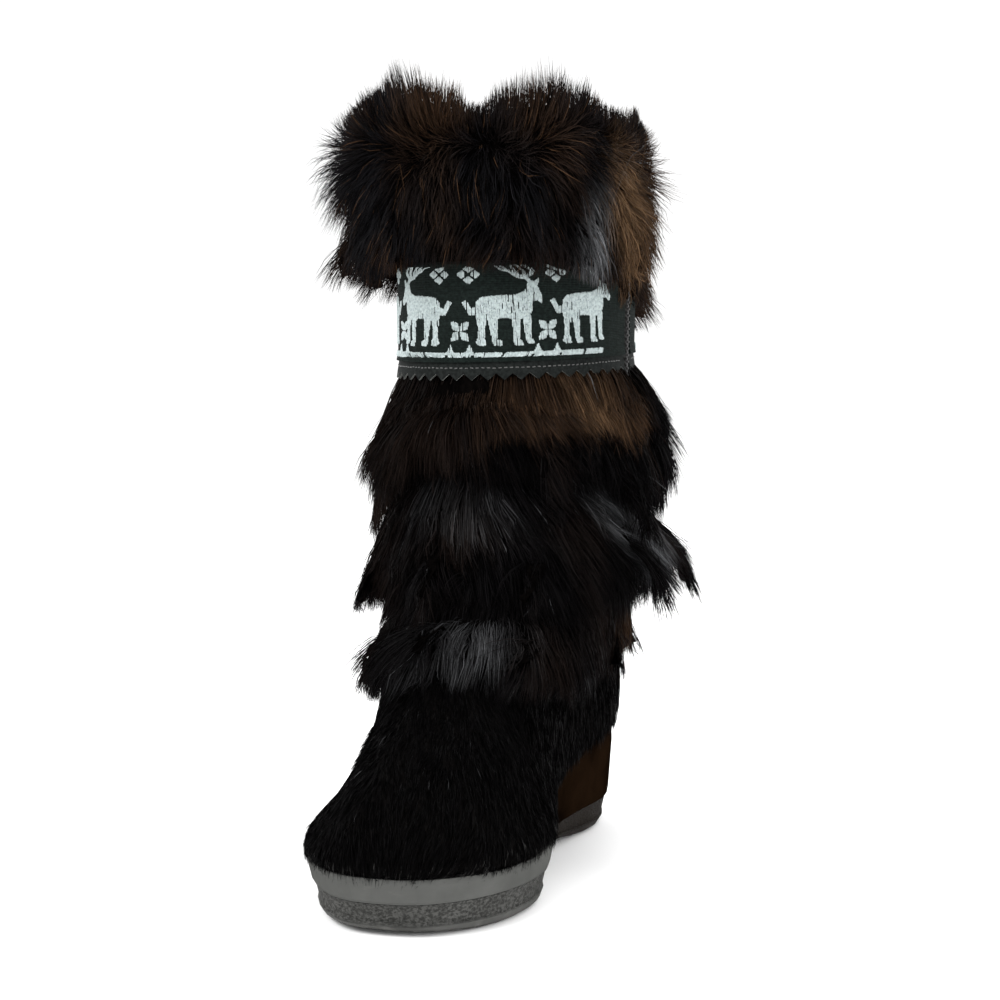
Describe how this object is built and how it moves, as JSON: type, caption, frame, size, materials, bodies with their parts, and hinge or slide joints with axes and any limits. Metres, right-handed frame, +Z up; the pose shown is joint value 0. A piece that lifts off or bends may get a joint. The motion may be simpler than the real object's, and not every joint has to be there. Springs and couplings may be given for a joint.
{
  "type": "fur boot",
  "caption": "Tall fur boot with shingled long fur tiers, a full fur cuff, an embroidered band, an inner side zip and a moulded wedge sole, for the right foot.",
  "frame": {"origin": "on the floor under the middle of the heel", "axes": "+Z up the leg, -Y towards the toe, +X towards the inner side of the leg"},
  "size_m": [0.1617, 0.2821, 0.3461],
  "materials": {
    "outsole": "grained moulded rubber with a smooth rim",
    "wedge_midsole": "smooth matt moulded rubber",
    "insole": "felt",
    "upper": "short sleek fur",
    "pinked_strip": "smooth leather with a pinked edge",
    "reindeer_band": "woven cloth embroidered in pale thread",
    "side_zip": "moulded teeth on woven tape",
    "fur_tier_upper": "long fur",
    "fur_tier_middle": "long fur",
    "fur_tier_lower": "long fur",
    "fur_cuff": "long fluffy fur"
  },
  "bodies": {
    "root": {"outsole": "outsole", "wedge_midsole": "wedge_midsole", "insole": "insole", "upper": "upper", "pinked_strip": "pinked_strip", "reindeer_band": "reindeer_band", "side_zip": "side_zip", "fur_tier_upper": "fur_tier_upper", "fur_tier_middle": "fur_tier_middle", "fur_tier_lower": "fur_tier_lower", "fur_cuff": "fur_cuff"}
  },
  "joints": []
}
